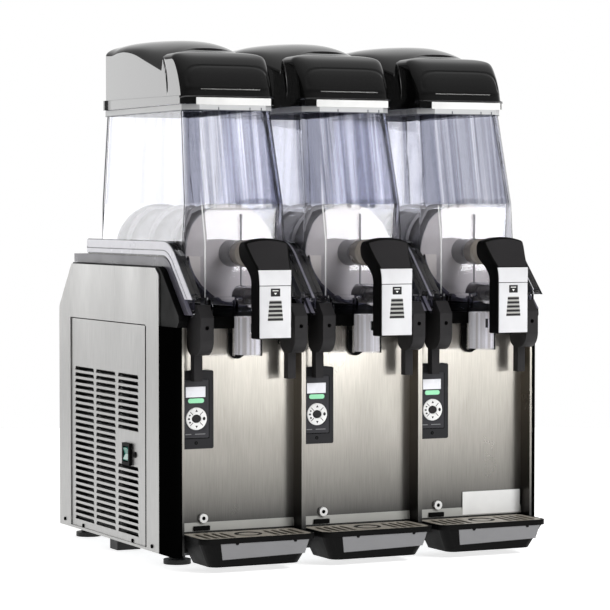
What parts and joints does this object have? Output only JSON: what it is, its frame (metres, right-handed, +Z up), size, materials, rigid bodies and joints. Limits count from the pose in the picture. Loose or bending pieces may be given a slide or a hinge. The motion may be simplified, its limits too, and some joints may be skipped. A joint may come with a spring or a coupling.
{
  "type": "slushie machine",
  "caption": "Counter-top slushie machine with clear bowls over cooled drums, pull taps, locking levers, domed lids and slide-out drip trays on a stainless body.",
  "frame": {"origin": "on the counter, under the middle of the machine's box", "axes": "+Z up, -Y towards the taps, +X to the right when facing the taps"},
  "size_m": [0.6246, 0.602, 0.8012],
  "materials": {
    "stainless": "brushed",
    "inner_steel": "galvanised",
    "drum_steel": "satin",
    "grille_steel": "brushed",
    "screw_steel": "bright",
    "plate_silver": "satin silver print on the tap and tray labels",
    "black_plastic": "moulded satin",
    "gloss_black": "high gloss",
    "grey_seat": "satin grey",
    "white_plastic": "food-grade satin",
    "clear_bowl": "clear polycarbonate",
    "display": "pale display window",
    "green_lens": "green translucent lens",
    "piston_rubber": "ribbed rubber",
    "rubber": "matt",
    "motor_grey": "cast and painted",
    "black_paint": "semi-gloss paint",
    "fin_aluminium": "bare fins"
  },
  "bodies": {
    "root": {"base_pan": "inner_steel", "rubber_feet": "rubber", "side_skin_left": "stainless", "side_skin_right": "stainless", "louvre_panel_left": "stainless", "louvre_panel_right": "stainless", "rear_panel": "stainless", "top_deck": "black_plastic", "corner_trim_left": "black_plastic", "corner_trim_right": "black_plastic", "front_panels": "stainless", "bowl_seats": "grey_seat", "bowl_gaskets": "rubber", "evaporators": "drum_steel", "crossbars": "black_plastic", "panel_bushes": "white_plastic", "tray_hooks": "black_plastic", "gearmotors": "motor_grey", "compressor": "black_paint", "condenser": "fin_aluminium", "switch_housing": "black_plastic", "cable_gland": "black_plastic", "panel_screws": "screw_steel", "control_boxes": "black_plastic", "display_windows": "display", "bowl_1": "clear_bowl", "bowl_2": "clear_bowl", "bowl_3": "clear_bowl"},
    "lid_1": {"lid_1": "gloss_black"},
    "tap_1": {"tap_1": "black_plastic"},
    "tap_piston_1": {"tap_piston_1": "piston_rubber"},
    "auger_1": {"auger_1": "white_plastic"},
    "drip_tray_1": {"drip_tray_1": "black_plastic"},
    "tray_grille_1": {"tray_grille_1": "grille_steel"},
    "nav_ring_1": {"nav_ring_1": "white_plastic"},
    "menu_button_1": {"menu_button_1": "black_plastic"},
    "latch_left_1": {"latch_left_1": "black_plastic"},
    "latch_right_1": {"latch_right_1": "black_plastic"},
    "lid_2": {"lid_2": "gloss_black"},
    "tap_2": {"tap_2": "black_plastic"},
    "tap_piston_2": {"tap_piston_2": "piston_rubber"},
    "auger_2": {"auger_2": "white_plastic"},
    "drip_tray_2": {"drip_tray_2": "black_plastic"},
    "tray_grille_2": {"tray_grille_2": "grille_steel"},
    "nav_ring_2": {"nav_ring_2": "white_plastic"},
    "menu_button_2": {"menu_button_2": "black_plastic"},
    "latch_left_2": {"latch_left_2": "black_plastic"},
    "latch_right_2": {"latch_right_2": "black_plastic"},
    "lid_3": {"lid_3": "gloss_black"},
    "tap_3": {"tap_3": "black_plastic"},
    "tap_piston_3": {"tap_piston_3": "piston_rubber"},
    "auger_3": {"auger_3": "white_plastic"},
    "drip_tray_3": {"drip_tray_3": "black_plastic"},
    "tray_grille_3": {"tray_grille_3": "grille_steel"},
    "nav_ring_3": {"nav_ring_3": "white_plastic"},
    "menu_button_3": {"menu_button_3": "black_plastic"},
    "latch_left_3": {"latch_left_3": "black_plastic"},
    "latch_right_3": {"latch_right_3": "black_plastic"},
    "power_rocker": {"power_rocker": "green_lens"},
    "condenser_fan": {"condenser_fan": "black_plastic"}
  },
  "joints": [
    {"name": "lid_lift_1", "type": "slide", "parent": "root", "child": "lid_1", "axis": [0, 0, 1], "range_m": [0, 0.12]},
    {"name": "tap_pull_1", "type": "hinge", "parent": "root", "child": "tap_1", "pos_m": [-0.2, -0.262, 0.362], "axis": [1, 0, 0], "range_deg": [0, 25], "stiffness_Nm_per_rad": 0.6, "springref_deg": -22.92},
    {"name": "piston_slide_1", "type": "slide", "parent": "root", "child": "tap_piston_1", "axis": [0, -1, 0], "range_m": [0, 0.019]},
    {"name": "auger_spin_1", "type": "hinge", "parent": "root", "child": "auger_1", "pos_m": [-0.2, 0, 0.472], "axis": [0, 1, 0], "continuous": true},
    {"name": "tray_slide_1", "type": "slide", "parent": "root", "child": "drip_tray_1", "axis": [0, -1, 0], "range_m": [0, 0.15]},
    {"name": "grille_lift_1", "type": "slide", "parent": "drip_tray_1", "child": "tray_grille_1", "axis": [0, 0, 1], "range_m": [0, 0.08]},
    {"name": "nav_press_1", "type": "slide", "parent": "root", "child": "nav_ring_1", "axis": [0, 1, 0], "range_m": [0, 0.0013], "stiffness_N_per_m": 900, "springref_m": -0.0006},
    {"name": "menu_press_1", "type": "slide", "parent": "root", "child": "menu_button_1", "axis": [0, 1, 0], "range_m": [0, 0.0013], "stiffness_N_per_m": 600, "springref_m": -0.0006},
    {"name": "latch_left_turn_1", "type": "hinge", "parent": "root", "child": "latch_left_1", "pos_m": [-0.2766, -0.202, 0.386], "axis": [1, 0, 0], "range_deg": [-50, 0]},
    {"name": "latch_right_turn_1", "type": "hinge", "parent": "root", "child": "latch_right_1", "pos_m": [-0.1234, -0.202, 0.386], "axis": [1, 0, 0], "range_deg": [-50, 0]},
    {"name": "lid_lift_2", "type": "slide", "parent": "root", "child": "lid_2", "axis": [0, 0, 1], "range_m": [0, 0.12]},
    {"name": "tap_pull_2", "type": "hinge", "parent": "root", "child": "tap_2", "pos_m": [0, -0.262, 0.362], "axis": [1, 0, 0], "range_deg": [0, 25], "stiffness_Nm_per_rad": 0.6, "springref_deg": -22.92},
    {"name": "piston_slide_2", "type": "slide", "parent": "root", "child": "tap_piston_2", "axis": [0, -1, 0], "range_m": [0, 0.019]},
    {"name": "auger_spin_2", "type": "hinge", "parent": "root", "child": "auger_2", "pos_m": [0, 0, 0.472], "axis": [0, 1, 0], "continuous": true},
    {"name": "tray_slide_2", "type": "slide", "parent": "root", "child": "drip_tray_2", "axis": [0, -1, 0], "range_m": [0, 0.15]},
    {"name": "grille_lift_2", "type": "slide", "parent": "drip_tray_2", "child": "tray_grille_2", "axis": [0, 0, 1], "range_m": [0, 0.08]},
    {"name": "nav_press_2", "type": "slide", "parent": "root", "child": "nav_ring_2", "axis": [0, 1, 0], "range_m": [0, 0.0013], "stiffness_N_per_m": 900, "springref_m": -0.0006},
    {"name": "menu_press_2", "type": "slide", "parent": "root", "child": "menu_button_2", "axis": [0, 1, 0], "range_m": [0, 0.0013], "stiffness_N_per_m": 600, "springref_m": -0.0006},
    {"name": "latch_left_turn_2", "type": "hinge", "parent": "root", "child": "latch_left_2", "pos_m": [-0.0766, -0.202, 0.386], "axis": [1, 0, 0], "range_deg": [-50, 0]},
    {"name": "latch_right_turn_2", "type": "hinge", "parent": "root", "child": "latch_right_2", "pos_m": [0.0766, -0.202, 0.386], "axis": [1, 0, 0], "range_deg": [-50, 0]},
    {"name": "lid_lift_3", "type": "slide", "parent": "root", "child": "lid_3", "axis": [0, 0, 1], "range_m": [0, 0.12]},
    {"name": "tap_pull_3", "type": "hinge", "parent": "root", "child": "tap_3", "pos_m": [0.2, -0.262, 0.362], "axis": [1, 0, 0], "range_deg": [0, 25], "stiffness_Nm_per_rad": 0.6, "springref_deg": -22.92},
    {"name": "piston_slide_3", "type": "slide", "parent": "root", "child": "tap_piston_3", "axis": [0, -1, 0], "range_m": [0, 0.019]},
    {"name": "auger_spin_3", "type": "hinge", "parent": "root", "child": "auger_3", "pos_m": [0.2, 0, 0.472], "axis": [0, 1, 0], "continuous": true},
    {"name": "tray_slide_3", "type": "slide", "parent": "root", "child": "drip_tray_3", "axis": [0, -1, 0], "range_m": [0, 0.15]},
    {"name": "grille_lift_3", "type": "slide", "parent": "drip_tray_3", "child": "tray_grille_3", "axis": [0, 0, 1], "range_m": [0, 0.08]},
    {"name": "nav_press_3", "type": "slide", "parent": "root", "child": "nav_ring_3", "axis": [0, 1, 0], "range_m": [0, 0.0013], "stiffness_N_per_m": 900, "springref_m": -0.0006},
    {"name": "menu_press_3", "type": "slide", "parent": "root", "child": "menu_button_3", "axis": [0, 1, 0], "range_m": [0, 0.0013], "stiffness_N_per_m": 600, "springref_m": -0.0006},
    {"name": "latch_left_turn_3", "type": "hinge", "parent": "root", "child": "latch_left_3", "pos_m": [0.1234, -0.202, 0.386], "axis": [1, 0, 0], "range_deg": [-50, 0]},
    {"name": "latch_right_turn_3", "type": "hinge", "parent": "root", "child": "latch_right_3", "pos_m": [0.2766, -0.202, 0.386], "axis": [1, 0, 0], "range_deg": [-50, 0]},
    {"name": "power_tilt", "type": "hinge", "parent": "root", "child": "power_rocker", "pos_m": [-0.309, 0.003, 0.16], "axis": [0, 1, 0], "range_deg": [-7, 7]},
    {"name": "fan_spin", "type": "hinge", "parent": "root", "child": "condenser_fan", "pos_m": [-0.254, 0.11, 0.165], "axis": [1, 0, 0], "continuous": true}
  ],
  "couplings": [
    {"joint": "piston_slide_1", "follows": "tap_pull_1", "m_per_rad": 0.043},
    {"joint": "piston_slide_2", "follows": "tap_pull_2", "m_per_rad": 0.043},
    {"joint": "piston_slide_3", "follows": "tap_pull_3", "m_per_rad": 0.043}
  ]
}
